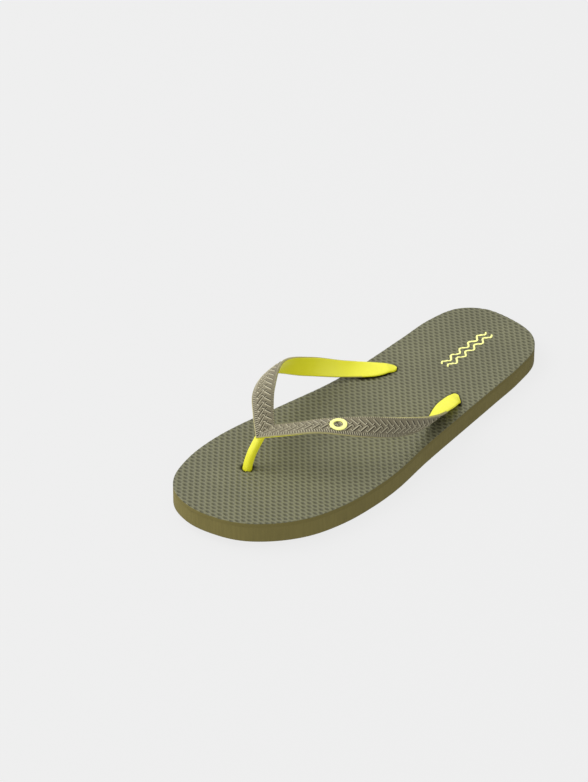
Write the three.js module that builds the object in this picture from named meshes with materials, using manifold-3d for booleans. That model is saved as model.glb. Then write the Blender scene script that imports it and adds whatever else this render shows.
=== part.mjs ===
// A left-foot flip flop: a laminated rubber sole with a Y-shaped strap that plugs into it at three holes.
// Millimetres. +Z is up, the toe points to -Y, the heel to +Y and the big toe is on the -X side.
import * as THREE from "three";
import { mergeVertices } from "three/addons/utils/BufferGeometryUtils.js";
import Module from "manifold-3d";

const wasm = await Module();
wasm.setup();

// Sole
const soleThickness = 13.5;
const heelThinning = 1.4; // how much less the sole measures at the back of the heel
const footbedThickness = 3;
const outsoleThickness = 3;
const glueLine = 0.05; // between bonded sheets
const toeSpring = 5.5; // rise of the underside at the toe
const toeSpringStart = -25; // the underside is flat from here to the heel
const wallFlare = 0.012; // share by which the underside is wider than the footbed
const soleStations = 72;

// Plan outline of the footbed, once around from the toe tip: up the big-toe side, back down the other.
const outlinePoints = [
  [-9, -142.5],
  [-25.5, -139],
  [-37, -129],
  [-46, -109],
  [-50, -88],
  [-50.5, -66],
  [-46.5, -28],
  [-42.5, 5],
  [-42, 35],
  [-44.5, 75],
  [-46.5, 103],
  [-43, 125.5],
  [-30, 139],
  [-9, 142.5],
  [10, 139],
  [22.5, 127],
  [29, 105],
  [33, 78],
  [38, 42],
  [43.5, 3],
  [49, -28],
  [50.5, -52],
  [49.5, -75],
  [44.5, -98],
  [34, -118],
  [21, -132],
  [6, -139.5],
];

// Strap
const baseThickness = 1.7; // soft underside layer, at the middle of the ribbon
const baseEdgeThickness = 0.9;
const coverThickness = 1;
const coverEdgeThickness = 0.4;
const coverGap = 0.25; // between the faceted faces of the two layers
const coverReach = 0.98; // share of the ribbon's half width that the cover spans
const coverEnd = 0.84; // share of each branch that the cover runs along
const ribbonCrown = 0.6;
const tipBias = -0.2; // where across the ribbon its rounded ends come to a point: -1 front, 1 rear
const tailRoundShare = 0.024; // share of a branch taken by its rounded end
const coverRoundShare = 0.07; // the same for the end of the cover
const postWidth = 5.1;
const postCorner = 1.5;
const stemRadius = 3;
const holeClearance = 0.4;
const plugRadius = 8.5;
const plugThickness = 2;
const plugInset = 0.6; // how far the plug stays up from the ground

// Where the strap goes through the sole
const postHole = new THREE.Vector2(-15.2, -90.1);
const medialHole = new THREE.Vector2(-28, 42.5);
const lateralHole = new THREE.Vector2(25, 48.5);
const postHoleRadius = 3.4;
const stemHoleRadius = stemRadius + holeClearance;
const plugHoleRadius = plugRadius + 0.6;

// The two edges of each strap branch, from the toe post to the tail: [front edge, rear edge].
const apex = [
  [-11.2, -86.7, 37.6],
  [-10.6, -71.6, 39.5],
];
const medialBranch = [
  apex,
  [
    [-23.9, -76.9, 43.5],
    [-20.8, -62.3, 44.5],
  ],
  [
    [-35.7, -65.7, 46.5],
    [-29.5, -52.5, 48.5],
  ],
  [
    [-49.4, -39.4, 40.5],
    [-45.2, -29.8, 47.5],
  ],
  [
    [-49.5, -9, 23.5],
    [-50.5, -1, 33.5],
  ],
  [
    [-38, 15.5, 15.5],
    [-44, 22.5, 22],
  ],
  [
    [-25.5, 33, 13.9],
    [-38, 38.2, 15.5],
  ],
  [
    [-22, 46.6, 13.7],
    [-25.7, 50.8, 13.7],
  ],
];
const lateralBranch = [
  apex,
  [
    [3, -75, 41],
    [0.5, -62, 42.5],
  ],
  [
    [15.7, -62.6, 43],
    [9, -53, 44.5],
  ],
  [
    [33, -41, 37.5],
    [26, -32.5, 44.5],
  ],
  [
    [37.5, -15, 26],
    [37, -9.5, 37.5],
  ],
  [
    [34, 9, 17.5],
    [40, 14.5, 27.5],
  ],
  [
    [21, 37.5, 13.9],
    [34, 39.8, 17.9],
  ],
  [
    [19.6, 56.2, 13.7],
    [29, 50.4, 13.7],
  ],
];

// Badge: an oval ring on the lateral branch
const badgePlace = 0.3475; // share of the branch from the toe post
const badgeHalfLength = 0.026; // in shares of the branch
const badgeHalfWidth = 0.68; // in shares of the ribbon's half width
const badgeHole = 0.55; // inner size over outer size
const badgeThickness = 0.8;
const badgeGap = 0.15;

// Heel print: two wavy lines along the sole
const printCentre = new THREE.Vector2(-7, 96);
const printAngle = THREE.MathUtils.degToRad(6);
const printLength = 47;
const printWaves = 5;
const printAmplitude = 1.5;
const printLineWidth = 1.5;
const printSpacing = 4.6;
const printThickness = 0.25;

// ---------- shared helpers ----------

// A closed skin over a row of rings, each a list of the same number of points.
// Seen from the first ring towards the last, each ring runs anticlockwise.
function skin(rings, closed = false) {
  const size = rings[0].length;
  const index = [];
  const spans = closed ? rings.length : rings.length - 1;
  for (let i = 0; i < spans; i++) {
    const here = i * size;
    const next = ((i + 1) % rings.length) * size;
    for (let k = 0; k < size; k++) {
      const l = (k + 1) % size;
      index.push(here + k, next + k, here + l);
      index.push(here + l, next + k, next + l);
    }
  }
  if (!closed) {
    const last = (rings.length - 1) * size;
    for (let k = 1; k < size - 1; k++) {
      index.push(0, k, k + 1);
      index.push(last, last + k + 1, last + k);
    }
  }
  const positions = rings.flat().flatMap((point) => [point.x, point.y, point.z]);
  const geometry = new THREE.BufferGeometry();
  geometry.setAttribute("position", new THREE.Float32BufferAttribute(positions, 3));
  geometry.setIndex(index);
  return geometry;
}

// The geometry as a solid, with coincident points joined and collapsed triangles dropped.
function solid(geometry) {
  const bare = geometry.clone();
  bare.deleteAttribute("normal");
  bare.deleteAttribute("uv");
  const merged = mergeVertices(bare, 1e-4);
  const corners = merged.index.array;
  const kept = [];
  for (let i = 0; i < corners.length; i += 3) {
    const [a, b, c] = corners.slice(i, i + 3);
    if (a !== b && b !== c && c !== a) kept.push(a, b, c);
  }
  return new wasm.Manifold(
    new wasm.Mesh({
      numProp: 3,
      vertProperties: merged.attributes.position.array,
      triVerts: new Uint32Array(kept),
    }),
  );
}

function geometryOf(body) {
  const mesh = body.getMesh();
  const geometry = new THREE.BufferGeometry();
  geometry.setAttribute("position", new THREE.Float32BufferAttribute(mesh.vertProperties, 3));
  geometry.setIndex(Array.from(mesh.triVerts));
  geometry.computeVertexNormals();
  return geometry;
}

// An upright round bar for cutting holes.
function bar(place, radius, low, high) {
  const geometry = new THREE.CylinderGeometry(radius, radius, high - low, 36);
  geometry.rotateX(Math.PI / 2);
  geometry.translate(place.x, place.y, (low + high) / 2);
  return solid(geometry);
}

function piece(name, body, color, roughness) {
  const material = new THREE.MeshStandardMaterial({ color, roughness, metalness: 0 });
  const mesh = new THREE.Mesh(geometryOf(body), material);
  mesh.name = name;
  return mesh;
}

// ---------- sole ----------

const outline = new THREE.CatmullRomCurve3(
  outlinePoints.map(([x, y]) => new THREE.Vector3(x, y, 0)),
  true,
  "centripetal",
).getPoints(1200);
const toeY = Math.min(...outline.map((point) => point.y));
const heelY = Math.max(...outline.map((point) => point.y));

// The big-toe-side and outer x of the footbed at y.
function widthAt(y) {
  const crossings = [];
  for (let i = 0; i < outline.length - 1; i++) {
    const a = outline[i];
    const b = outline[i + 1];
    if (a.y <= y !== b.y <= y) crossings.push(a.x + ((b.x - a.x) * (y - a.y)) / (b.y - a.y));
  }
  return [Math.min(...crossings), Math.max(...crossings)];
}

function soleUnderside(y) {
  const reach = Math.max(0, (toeSpringStart - y) / (toeSpringStart - toeY));
  return toeSpring * reach ** 2;
}

function soleTop(y) {
  return soleUnderside(y) + soleThickness - heelThinning * Math.max(0, y / heelY) ** 2;
}

// One sheet of the sole between two heights, each a function of y.
function soleSheet(lowAt, highAt) {
  const rings = [];
  for (let i = 0; i <= soleStations; i++) {
    const turn = (Math.PI * i) / soleStations;
    const y = (toeY + heelY) / 2 - ((heelY - toeY) / 2) * Math.cos(turn);
    const tip = i === 0 || i === soleStations;
    const nearTip = i === 0 ? toeY + 0.01 : heelY - 0.01;
    const [medial, lateral] = widthAt(tip ? nearTip : y);
    const middle = (medial + lateral) / 2;
    const half = tip ? 0 : (lateral - medial) / 2;
    const corner = (side, z) => {
      const depth = (soleTop(y) - z) / (soleTop(y) - soleUnderside(y));
      return new THREE.Vector3(middle + side * half * (1 + wallFlare * depth), y, z);
    };
    const low = lowAt(y);
    const high = highAt(y);
    rings.push([corner(-1, low), corner(1, low), corner(1, high), corner(-1, high)]);
  }
  return solid(skin(rings));
}

// Takes a round hole through a sheet at each of the strap's three places.
function punched(sheet, postRadius, stemRadii) {
  const low = -1;
  const high = soleThickness + toeSpring + 1;
  return sheet
    .subtract(bar(postHole, postRadius, low, high))
    .subtract(bar(medialHole, stemRadii, low, high))
    .subtract(bar(lateralHole, stemRadii, low, high));
}

function footbed() {
  const sheet = soleSheet((y) => soleTop(y) - footbedThickness, soleTop);
  return punched(sheet, postHoleRadius, stemHoleRadius);
}

function midsole() {
  const sheet = soleSheet(
    (y) => soleUnderside(y) + outsoleThickness + glueLine,
    (y) => soleTop(y) - footbedThickness - glueLine,
  );
  return punched(sheet, postHoleRadius, stemHoleRadius);
}

function outsole() {
  const sheet = soleSheet(soleUnderside, (y) => soleUnderside(y) + outsoleThickness);
  return punched(sheet, plugHoleRadius, plugHoleRadius);
}

// ---------- strap ----------

function edgeCurve(branch, edge) {
  return new THREE.CatmullRomCurve3(branch.map((pair) => new THREE.Vector3(...pair[edge])));
}

const strapEdges = {
  medial: [edgeCurve(medialBranch, 0), edgeCurve(medialBranch, 1)],
  lateral: [edgeCurve(lateralBranch, 0), edgeCurve(lateralBranch, 1)],
};

// A point of the flat ribbon. Along runs from -1 at the medial tail, through 0 at the toe post,
// to 1 at the lateral tail. Across runs from -1 at the front edge to 1 at the rear edge.
function ribbonPoint(along, across) {
  const [front, rear] = along < 0 ? strapEdges.medial : strapEdges.lateral;
  const share = Math.min(1, Math.abs(along));
  return front.getPoint(share).lerp(rear.getPoint(share), (across + 1) / 2);
}

// The ribbon's outward direction, away from the foot.
function ribbonNormal(along, across) {
  const step = 0.01;
  const ahead = ribbonPoint(Math.min(1, along + step), across);
  const behind = ribbonPoint(Math.max(-1, along - step), across);
  const width = ribbonPoint(along, 1).sub(ribbonPoint(along, -1));
  return ahead.sub(behind).cross(width).normalize();
}

// A point at a height above the ribbon's face, which is crowned except where the tails lie flat.
function strapPoint(along, across, height) {
  const crown = ribbonCrown * (1 - across ** 2) * (1 - along ** 4);
  return ribbonPoint(along, across).addScaledVector(ribbonNormal(along, across), crown + height);
}

// Places along the strap and how much of the width is left there, for a ribbon with rounded ends.
function strapStations(end, roundShare, count = 34, endCount = 6) {
  const stations = [];
  const straightEnd = end - roundShare;
  for (let i = -count; i <= count; i++) {
    stations.push({ along: (straightEnd * i) / count, width: 1 });
  }
  for (let i = 1; i <= endCount; i++) {
    const turn = ((Math.PI / 2) * i) / endCount;
    const along = straightEnd + roundShare * Math.sin(turn);
    const width = i === endCount ? 0 : Math.cos(turn);
    stations.push({ along, width });
    stations.unshift({ along: -along, width });
  }
  return stations;
}

// A layer of the ribbon between two heights, each a function of the place across.
function strapLayer(stations, reach, outerAt, innerAt) {
  const rows = 6;
  const places = Array.from({ length: rows + 1 }, (_, k) => Math.sin(Math.PI * (k / rows - 0.5)));
  const rings = stations.map(({ along, width }) => {
    const spot = (place) => tipBias + (reach * place - tipBias) * width;
    const outer = places.map((place) => strapPoint(along, spot(place), outerAt(place) * width));
    const inner = places.map((place) => strapPoint(along, spot(place), innerAt(place)));
    return [...outer, ...inner.reverse()];
  });
  return solid(skin(rings));
}

// Thickness of a layer with rounded edges, across the ribbon.
function crowned(edge, middle, place) {
  return edge + (middle - edge) * Math.sqrt(Math.max(0, 1 - place ** 2));
}

function strapCover() {
  return strapLayer(
    strapStations(coverEnd, coverRoundShare),
    coverReach,
    (place) => coverGap + crowned(coverEdgeThickness, coverThickness, place),
    () => coverGap,
  );
}

function ribbonBase() {
  return strapLayer(
    strapStations(1, tailRoundShare),
    1,
    () => 0,
    (place) => -crowned(baseEdgeThickness, baseThickness, place),
  );
}

function roundedSquare(width, corner) {
  const flat = width / 2 - corner;
  const shape = new THREE.Shape();
  shape.absarc(flat, flat, corner, 0, Math.PI / 2);
  shape.absarc(-flat, flat, corner, Math.PI / 2, Math.PI);
  shape.absarc(-flat, -flat, corner, Math.PI, Math.PI * 1.5);
  shape.absarc(flat, -flat, corner, Math.PI * 1.5, Math.PI * 2);
  return shape;
}

// The toe post, from inside its plug up through the sole and back under the strap's apex.
function toePost() {
  const foot = soleUnderside(postHole.y) + plugInset + plugThickness / 2;
  const path = new THREE.CatmullRomCurve3([
    new THREE.Vector3(postHole.x, postHole.y, foot),
    new THREE.Vector3(postHole.x, postHole.y, foot + 6),
    new THREE.Vector3(postHole.x, postHole.y + 0.1, soleTop(postHole.y)),
    new THREE.Vector3(-14, -87.5, 24.9),
    new THREE.Vector3(-11.5, -82.6, 36.4),
  ]);
  const geometry = new THREE.ExtrudeGeometry(roundedSquare(postWidth, postCorner), {
    steps: 24,
    curveSegments: 5,
    extrudePath: path,
  });
  return solid(geometry);
}

// A flat round plug with a rounded rim, and the stem that stands on it up to a domed top.
function plug(place, stemTop) {
  const low = soleUnderside(place.y) + plugInset;
  const edge = plugThickness / 2;
  const profile = [new THREE.Vector2(0, low)];
  for (let turn = -90; turn <= 90; turn += 30) {
    const angle = THREE.MathUtils.degToRad(turn);
    const radius = plugRadius - edge + edge * Math.cos(angle);
    profile.push(new THREE.Vector2(radius, low + edge + edge * Math.sin(angle)));
  }
  profile.push(new THREE.Vector2(stemRadius, low + plugThickness));
  const dome = stemRadius / 2;
  for (let turn = 0; turn < 90; turn += 30) {
    const angle = THREE.MathUtils.degToRad(turn);
    const height = stemTop - dome + dome * Math.sin(angle);
    profile.push(new THREE.Vector2(stemRadius * Math.cos(angle), height));
  }
  profile.push(new THREE.Vector2(0, stemTop));
  const geometry = new THREE.LatheGeometry(profile, 40);
  geometry.rotateX(Math.PI / 2);
  geometry.translate(place.x, place.y, 0);
  return solid(geometry);
}

function strapBase() {
  const tailRise = 1.6; // how far the tails' stems reach above the footbed, into the ribbon
  const postStemTop = soleUnderside(postHole.y) + outsoleThickness + 2;
  return ribbonBase()
    .add(toePost())
    .add(plug(postHole, postStemTop))
    .add(plug(medialHole, soleTop(medialHole.y) + tailRise))
    .add(plug(lateralHole, soleTop(lateralHole.y) + tailRise));
}

// An oval ring that follows the curve of the strap.
function strapBadge() {
  const count = 48;
  const floor = coverGap + coverThickness + badgeGap;
  const rings = [];
  for (let i = 0; i < count; i++) {
    const turn = (2 * Math.PI * i) / count;
    const at = (size, height) =>
      strapPoint(
        badgePlace + badgeHalfLength * size * Math.cos(turn),
        badgeHalfWidth * size * Math.sin(turn),
        height,
      );
    const top = floor + badgeThickness;
    rings.push([
      at(1, floor),
      at(1, top - 0.25),
      at(0.93, top),
      at(badgeHole + 0.07, top),
      at(badgeHole, top - 0.25),
      at(badgeHole, floor),
    ]);
  }
  return solid(skin(rings, true));
}

// ---------- heel print ----------

// One wavy line of the print, laid on the footbed. Offset is its distance from the print's middle.
function printWave(offset) {
  const count = 100;
  const rings = [];
  for (let i = 0; i <= count; i++) {
    const along = printLength * (i / count - 0.5);
    const turn = (2 * Math.PI * printWaves * along) / printLength;
    const slope = ((2 * Math.PI * printWaves) / printLength) * printAmplitude * Math.cos(turn);
    const middle = new THREE.Vector2(offset + printAmplitude * Math.sin(turn), along);
    const side = new THREE.Vector2(1, -slope).setLength(printLineWidth / 2);
    const edges = [middle.clone().sub(side), middle.clone().add(side)];
    const [a, b] = edges.map((edge) => edge.rotateAround(new THREE.Vector2(), printAngle).add(printCentre));
    const low = (point) => new THREE.Vector3(point.x, point.y, soleTop(point.y) + glueLine);
    const high = (point) => low(point).setZ(soleTop(point.y) + glueLine + printThickness);
    rings.push([low(a), low(b), high(b), high(a)]);
  }
  return solid(skin(rings));
}

// ---------- the whole flip flop ----------

const olive = 0x79755c;
const darkOlive = 0x6e6944;
const taupe = 0x948e78;
const yellow = 0xe8e14a;
const paleYellow = 0xfbf88c;

const flipFlop = new THREE.Group();
flipFlop.add(
  piece("footbed", footbed(), olive, 0.85),
  piece("midsole", midsole(), darkOlive, 0.9),
  piece("outsole", outsole(), darkOlive, 0.85),
  piece("strap_base", strapBase(), yellow, 0.4),
  piece("strap_cover", strapCover(), taupe, 0.55),
  piece("strap_badge", strapBadge(), paleYellow, 0.4),
  piece("heel_print_wave_inner", printWave(-printSpacing / 2), paleYellow, 0.6),
  piece("heel_print_wave_outer", printWave(printSpacing / 2), paleYellow, 0.6),
);

// The origin goes under the middle of the whole flip flop, on the ground.
const box = new THREE.Box3().setFromObject(flipFlop);
const middle = box.getCenter(new THREE.Vector3());
flipFlop.position.set(-middle.x, -middle.y, -box.min.z);

export default flipFlop;
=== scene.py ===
"""The looks of the flip flop: dimpled footbed, foam sole, braided two-layer strap, badge and heel print.

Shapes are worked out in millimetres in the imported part's frame and turned into metres when a mesh is made.
The toe points to -Y, the heel to +Y, and the big toe is on the -X side.
"""

import math

import bpy
import numpy as np
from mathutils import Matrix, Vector


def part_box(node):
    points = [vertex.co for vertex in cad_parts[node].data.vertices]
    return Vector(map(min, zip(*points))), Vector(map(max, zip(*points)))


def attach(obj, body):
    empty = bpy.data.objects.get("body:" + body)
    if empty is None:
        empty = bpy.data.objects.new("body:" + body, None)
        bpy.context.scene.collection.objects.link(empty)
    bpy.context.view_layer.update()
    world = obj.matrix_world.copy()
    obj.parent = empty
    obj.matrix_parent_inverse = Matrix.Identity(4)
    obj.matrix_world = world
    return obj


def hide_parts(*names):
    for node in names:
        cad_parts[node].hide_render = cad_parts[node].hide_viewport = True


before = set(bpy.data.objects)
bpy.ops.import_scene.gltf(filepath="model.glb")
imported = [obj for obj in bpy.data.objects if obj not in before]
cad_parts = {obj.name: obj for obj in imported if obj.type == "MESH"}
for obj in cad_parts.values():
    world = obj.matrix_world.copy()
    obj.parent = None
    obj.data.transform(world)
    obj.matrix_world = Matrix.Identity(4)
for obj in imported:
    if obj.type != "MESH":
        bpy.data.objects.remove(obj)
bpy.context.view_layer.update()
MM = 0.001

# ---------- sizes, in millimetres ----------

FOOTBED_THICKNESS = 3.0
OUTSOLE_THICKNESS = 3.0
EDGE_ROUND = 0.45  # softening of the die-cut edges
WALL_FLARE = 0.012  # share by which the underside is wider than the footbed
TRIM_OVERHANG = 4.0  # how far a trimming solid stands past the slab that it trims
SLAB_HALF_WIDTH = 60  # the slabs are made larger than the sole and trimmed to its outline
SLAB_HALF_LENGTH = 150

DIMPLE_ACROSS = 4.58  # lattice of the footbed: pitch across, and between rows
DIMPLE_ROW = 2.647
DIMPLE_TURN = math.radians(4.5)
DIMPLE_HALF = (2.45, 1.55)  # half sizes of one dimple, a rounded diamond
DIMPLE_POWER = 1.3  # 1 would be a sharp diamond and 2 an oval
DIMPLE_DEPTH = 0.42
DIMPLE_FLOOR = 0.75  # a dimple is flat where it is deeper than this share
DIMPLE_STEPS_ACROSS = 7  # mesh steps per pitch
DIMPLE_STEPS_ROW = 6

TREAD_PITCH = 6.2  # from one wavy groove of the outsole to the next
TREAD_WAVE_LENGTH = 17
TREAD_WAVE_HEIGHT = 2.2
TREAD_DEPTH = 0.8
TREAD_GROOVE = (1.15, 0.75)  # distances from a groove's middle where its wall begins and ends
TREAD_BORDER = (5.6, 6.2)  # distances from the outline over which the grooves fade in
TREAD_RING = (2.5, 3.1)  # the same, from a plug's recess

STRAP_OFFSET = 0.081  # the strap's own numbers start this far from the middle of the footbed
POST_HOLE = (-15.2, -90.1)
MEDIAL_HOLE = (-28.0, 42.5)
LATERAL_HOLE = (25.0, 48.5)
POST_HOLE_RADIUS = 3.4
STEM_RADIUS = 3.0
STEM_HOLE_RADIUS = 3.4
HOLE_SURROUND = 5.5  # packed points nearer than this to a hole are not read as part of the outline
PLUG_RADIUS = 8.5
PLUG_HOLE_RADIUS = 9.1
PLUG_THICKNESS = 2.0
PLUG_INSET = 0.6
POST_WIDTH = 5.1
POST_CORNER = 0.7  # 1 would be a round section and 0 a square one
POST_MIDDLE = (-14.0, -87.5, 24.9)
POST_TOP = (-11.5, -82.6, 36.4)

BASE_EDGE, BASE_MIDDLE = 0.9, 1.7  # thickness of the yellow layer
COVER_EDGE, COVER_MIDDLE = 0.4, 0.95  # thickness of the olive layer, without its braid
COVER_GAP = 0.05  # how far the olive layer's face starts above the ribbon
COVER_REACH = 0.992  # shares of the ribbon's half width: the olive layer wraps round the yellow one's edges
BASE_REACH = 0.97
COVER_END = 0.84  # share of a branch that the olive layer covers
COVER_ROUND = 0.07  # share of a branch taken by the olive layer's rounded end
EDGE_START = 0.93  # where across a layer the rounding of its edge begins
RIBBON_CROWN = 0.6
TIP_BIAS = -0.2  # where across the ribbon its rounded ends come to a point
TAIL_ROUND = 0.024  # share of a branch taken by its rounded end
CREASE_SHADOW_REACH = 1.4  # how far the painted shadow reaches round the tails and the post
TAIL_DIP = 1.2  # how far the tails' tips sink into the footbed
TAIL_CONTACT = 0.78  # share of a branch from which its tail can touch the footbed
TAIL_SINK = 0.12  # gap kept between a tail and the dent that it presses
POST_DENT = 0.35  # depth of the dent round the toe post
POST_DENT_REACH = 1.2

# The two edges of each strap branch, from the toe post to the tail: (front edge, rear edge).
APEX = ((-11.2, -86.7, 37.6), (-10.6, -71.6, 39.5))
MEDIAL_BRANCH = [
    APEX,
    ((-23.9, -76.9, 43.5), (-20.8, -62.3, 44.5)),
    ((-35.7, -65.7, 46.5), (-29.5, -52.5, 48.5)),
    ((-49.4, -39.4, 40.5), (-45.2, -29.8, 47.5)),
    ((-49.5, -9, 23.5), (-50.5, -1, 33.5)),
    ((-38, 15.5, 15.5), (-44, 22.5, 22)),
    ((-25.5, 33, 13.9), (-38, 38.2, 15.5)),
    ((-22, 46.6, 13.7), (-25.7, 50.8, 13.7)),
]
LATERAL_BRANCH = [
    APEX,
    ((3, -75, 41), (0.5, -62, 42.5)),
    ((15.7, -62.6, 43), (9, -53, 44.5)),
    ((33, -41, 37.5), (26, -32.5, 44.5)),
    ((37.5, -15, 26), (37, -9.5, 37.5)),
    ((34, 9, 17.5), (40, 14.5, 27.5)),
    ((21, 37.5, 13.9), (34, 39.8, 17.9)),
    ((19.6, 56.2, 13.7), (29, 50.4, 13.7)),
]

BRAID_PITCH = 4.6  # along the strap
BRAID_DEPTH = 0.7
BRAID_SCALE = 7.4  # half width of the ribbon for which the strands below are drawn
BRAID_SEAM = 0.09  # where across the ribbon the two columns of strands meet
# One strand of each column: (along towards the tail, across from the seam towards the rear edge).
REAR_STRAND = [(0.4, 4.5), (4.3, 0.4), (5.2, 1.4)]
FRONT_STRAND = [(0.6, -3.7), (1.5, -4.6), (5.5, -0.1), (6.5, -1.2)]
STRAND_WIDTH = 0.36  # half width of the raised line along each strand
GROOVE_SHIFT = 0.78  # the groove beside each line, towards the tail
BAND_FRONT, BAND_REAR = -0.55, 0.8  # edges of the braid, across the ribbon
TICK_PITCH = 1.35
TICKS_FRONT = (-0.92, -0.62)  # where the beads run along both borders
TICKS_REAR = (0.86, 0.99)

BADGE_PLACE = 0.3475
BADGE_HALF_LENGTH = 0.026
BADGE_HALF_WIDTH = 0.68
BADGE_HOLE = 0.55  # share of the oval that is open
BADGE_HALF_HEIGHT = 0.6
BADGE_SUNK = 0.3
BADGE_CORNER = 0.6  # 1 would be a round section and 0 a square one

PRINT_CENTRE = (-7.0, 96.0)
PRINT_ANGLE = math.radians(6)
PRINT_LENGTH = 47.0
PRINT_WAVES = 5
PRINT_AMPLITUDE = 1.5
PRINT_LINE = 1.2
PRINT_SPACING = 4.6
PRINT_END = 0.75  # length of each line's rounded end
PRINT_RAISE = 0.16

# ---------- shared helpers ----------


def bell(distance, width):
    """1 at no distance, falling softly towards 0."""
    return np.exp(-((distance / width) ** 2))


def smooth(start, end, value):
    """0 before start, 1 after end, and a smooth step between. With start above end, the step runs down."""
    t = np.clip((value - start) / (end - start), 0, 1)
    return t * t * (3 - 2 * t)


def spline(points, shares, closed=False):
    """Points of the centripetal Catmull-Rom curve through the given points, at shares from 0 to 1."""
    points = np.asarray(points, float)
    if closed:
        spans = len(points)
        padded = np.vstack([points[-1:], points, points[:2]])
    else:
        spans = len(points) - 1
        before = 2 * points[0] - points[1]
        after = 2 * points[-1] - points[-2]
        padded = np.vstack([before, points, after])
    place = np.clip(shares, 0, 1) * spans
    first = np.minimum(place.astype(int), spans - 1)
    w = (place - first)[..., None]
    a, b, c, d = (padded[first + k] for k in range(4))

    def gap(p, q):
        return np.sum((p - q) ** 2, -1, keepdims=True) ** 0.25

    ab, bc, cd = gap(a, b), gap(b, c), gap(c, d)
    leave = ((b - a) / ab - (c - a) / (ab + bc) + (c - b) / bc) * bc
    arrive = ((c - b) / bc - (d - b) / (bc + cd) + (d - c) / cd) * bc
    square = 3 * (c - b) - 2 * leave - arrive
    cube = 2 * (b - c) + leave + arrive
    return b + leave * w + square * w**2 + cube * w**3


def mesh_of(name, points, faces):
    """A mesh from points in millimetres."""
    mesh = bpy.data.meshes.new(name)
    mesh.from_pydata((np.asarray(points) * MM).tolist(), [], faces)
    mesh.validate()
    mesh.update()
    return mesh


def object_of(name, mesh):
    made = bpy.data.objects.new(name, mesh)
    bpy.context.scene.collection.objects.link(made)
    return made


def baked(made):
    """Turns the object's modifiers into its mesh."""
    bpy.context.view_layer.update()
    depsgraph = bpy.context.evaluated_depsgraph_get()
    mesh = bpy.data.meshes.new_from_object(made.evaluated_get(depsgraph))
    made.modifiers.clear()
    made.data = mesh


def combine(body, operation, tools):
    """Cuts, joins or trims the body with each tool in turn, and removes the tools."""
    for tool in tools:
        step = body.modifiers.new("step", "BOOLEAN")
        step.operation = operation
        step.solver = "MANIFOLD"
        step.object = tool
        baked(body)
        bpy.data.objects.remove(tool)
    return body


def tube_faces(rings, size, closed=False):
    """Faces of a skin over rings of equally many points, with an end cap on each side unless it is closed."""
    faces = []
    spans = rings if closed else rings - 1
    for i in range(spans):
        here = i * size
        there = ((i + 1) % rings) * size
        for k in range(size):
            after = (k + 1) % size
            faces.append((here + k, there + k, there + after, here + after))
    if not closed:
        faces.append(tuple(range(size)))
        faces.append(tuple(range(rings * size - 1, (rings - 1) * size - 1, -1)))
    return faces


def tube(name, rings, closed=False):
    """A closed skin over a row of rings. Seen from the first towards the last, each runs anticlockwise."""
    rings = np.asarray(rings)
    faces = tube_faces(len(rings), rings.shape[1], closed)
    return object_of(name, mesh_of(name, rings.reshape(-1, 3), faces))


def upright(name, place, profile, count=64):
    """A solid turned about an upright axis. The profile runs from the low end of the axis to the high end."""
    turns = np.arange(count) * 2 * math.pi / count
    rings = []
    for radius, height in profile:
        x = place[0] + radius * np.cos(turns)
        y = place[1] + radius * np.sin(turns)
        rings.append(np.stack([x, y, np.full(count, float(height))], -1))
    return tube(name, rings[::-1])


def points_of(mesh):
    """Vertex positions of a mesh in millimetres."""
    flat = np.zeros(len(mesh.vertices) * 3)
    mesh.vertices.foreach_get("co", flat)
    return flat.reshape(-1, 3) / MM


def facing_up(mesh):
    """Upward part of each vertex's normal."""
    flat = np.zeros(len(mesh.vertices) * 3)
    mesh.vertex_normals.foreach_get("vector", flat)
    return flat.reshape(-1, 3)[:, 2]


def attribute(mesh, name, values):
    """Keeps one number per vertex on the mesh, for its material."""
    layer = mesh.attributes.new(name, "FLOAT", "POINT")
    layer.data.foreach_set("value", np.asarray(values, np.float32))


def finish_piece(made, node, material, sharp=55):
    """Smooth shading, material, and the piece's place in the frame."""
    mesh = made.data
    mesh.materials.clear()
    mesh.materials.append(material)
    mesh.shade_smooth()
    mesh.set_sharp_from_angle(angle=math.radians(sharp))
    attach(made, "root")
    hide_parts(node)
    return made


# ---------- sole: shape ----------

footbed_low, footbed_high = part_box("footbed")
FOOTBED_MIDDLE = np.array((footbed_low + footbed_high) / 2)[:2] / MM
DESIGN = np.array([FOOTBED_MIDDLE[0] + STRAP_OFFSET, FOOTBED_MIDDLE[1]])
HOLES = {
    "post": DESIGN + POST_HOLE,
    "medial": DESIGN + MEDIAL_HOLE,
    "lateral": DESIGN + LATERAL_HOLE,
}


def footbed_rows():
    """(y, big-toe-side x, outer x, top z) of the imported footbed, from toe to heel."""
    points = points_of(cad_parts["footbed"].data)
    for hole in HOLES.values():
        off_hole = np.hypot(*(points[:, :2] - hole).T) > HOLE_SURROUND
        points = points[off_hole]
    rows = []
    for y in np.unique(points[:, 1].round(2)):
        row = points[np.abs(points[:, 1] - y) < 0.02]
        top = row[row[:, 2] > row[:, 2].max() - 0.01]
        rows.append((y, top[:, 0].min(), top[:, 0].max(), row[:, 2].max()))
    return np.array(rows)


ROWS = footbed_rows()


def sole_top(y):
    return np.interp(y, ROWS[:, 0], ROWS[:, 3])


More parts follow.
